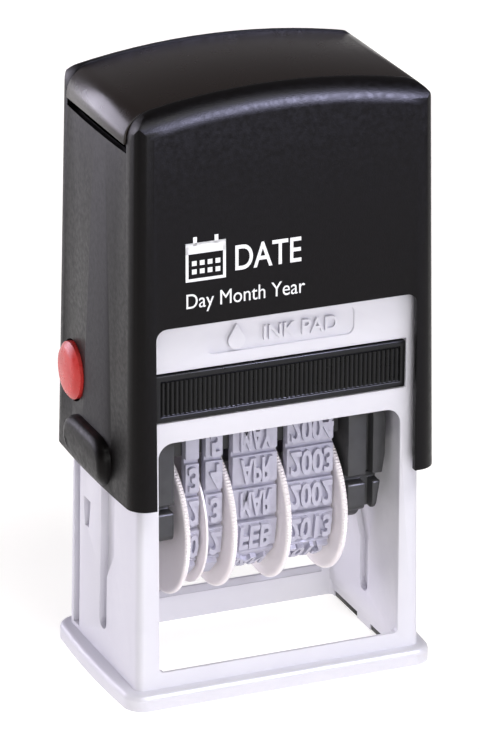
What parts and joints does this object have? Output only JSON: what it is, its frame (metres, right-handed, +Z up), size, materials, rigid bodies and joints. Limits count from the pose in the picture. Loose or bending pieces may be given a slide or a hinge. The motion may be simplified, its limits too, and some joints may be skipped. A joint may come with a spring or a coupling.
{
  "type": "self-inking date stamp",
  "caption": "Upright self-inking date stamp: black press-down cover over a white frame, with a turning date unit of rubber bands on thumb wheels, a pull-out ink pad tray and a smoked index window.",
  "frame": {"origin": "middle of the foot's underside, where the stamp stands on the paper", "axes": "+Z up along the press stroke, -Y towards the front with the ink pad tray, +X to the right as seen from the front"},
  "size_m": [0.0542, 0.0336, 0.0966],
  "materials": {
    "white_plastic": "satin moulded",
    "black_textured": "fine spark-eroded texture",
    "black_gloss": "glossy moulded",
    "tray_black": "ribbed front",
    "pad_felt": "ink-soaked felt",
    "card_dark": "plain index card",
    "smoked_window": "clear smoked",
    "red_plastic": "glossy moulded",
    "spring_steel": "drawn wire",
    "unit_dark": "satin moulded",
    "wheel_plastic": "milky translucent",
    "band_rubber": "moulded type rubber"
  },
  "bodies": {
    "frame": {"lower_frame": "white_plastic"},
    "pad_drawer": {"ink_pad_tray": "tray_black", "ink_pad": "pad_felt"},
    "cover": {"outer_cover": "black_textured", "pivot_yoke": "black_gloss", "index_card": "card_dark", "return_spring": "spring_steel"},
    "window": {"index_window": "smoked_window"},
    "button_left": {"lock_button_left": "red_plastic"},
    "button_right": {"lock_button_right": "red_plastic"},
    "date_unit": {"turning_frame": "unit_dark", "axle_holder_left": "unit_dark", "axle_holder_right": "unit_dark", "wheel_axle": "spring_steel", "band_bridge": "unit_dark", "spacer_disc": "wheel_plastic", "day_tens_band": "band_rubber", "day_units_band": "band_rubber", "month_band": "band_rubber", "year_band": "band_rubber"},
    "day_tens_roller": {"day_tens_wheel": "wheel_plastic"},
    "day_units_roller": {"day_units_wheel": "wheel_plastic"},
    "month_roller": {"month_wheel": "wheel_plastic"},
    "year_roller": {"year_wheel": "wheel_plastic"}
  },
  "joints": [
    {"name": "cover_press", "type": "slide", "parent": "frame", "child": "cover", "axis": [0, 0, -1], "range_m": [0, 0.026], "stiffness_N_per_m": 250, "springref_m": -0.012, "deforming": ["return_spring"]},
    {"name": "unit_flip", "type": "hinge", "parent": "cover", "child": "date_unit", "pos_m": [0, 0, 0.03615], "axis": [1, 0, 0], "range_deg": [0, 180]},
    {"name": "pad_pull", "type": "slide", "parent": "frame", "child": "pad_drawer", "axis": [0, -1, 0], "range_m": [0, 0.034]},
    {"name": "window_lift", "type": "slide", "parent": "cover", "child": "window", "axis": [0, 0, 1], "range_m": [0, 0.015]},
    {"name": "lock_press_left", "type": "slide", "parent": "cover", "child": "button_left", "axis": [1, 0, 0], "range_m": [0, 0.0012], "stiffness_N_per_m": 600, "springref_m": -0.001},
    {"name": "lock_press_right", "type": "slide", "parent": "cover", "child": "button_right", "axis": [-1, 0, 0], "range_m": [0, 0.0012], "stiffness_N_per_m": 600, "springref_m": -0.001},
    {"name": "day_tens_turn", "type": "hinge", "parent": "date_unit", "child": "day_tens_roller", "pos_m": [0, 0, 0.0245], "axis": [1, 0, 0], "continuous": true},
    {"name": "day_units_turn", "type": "hinge", "parent": "date_unit", "child": "day_units_roller", "pos_m": [0, 0, 0.0245], "axis": [1, 0, 0], "continuous": true},
    {"name": "month_turn", "type": "hinge", "parent": "date_unit", "child": "month_roller", "pos_m": [0, 0, 0.0245], "axis": [1, 0, 0], "continuous": true},
    {"name": "year_turn", "type": "hinge", "parent": "date_unit", "child": "year_roller", "pos_m": [0, 0, 0.0245], "axis": [1, 0, 0], "continuous": true}
  ],
  "couplings": [
    {"joint": "unit_flip", "follows": "cover_press", "rad_per_m": 120.83}
  ]
}
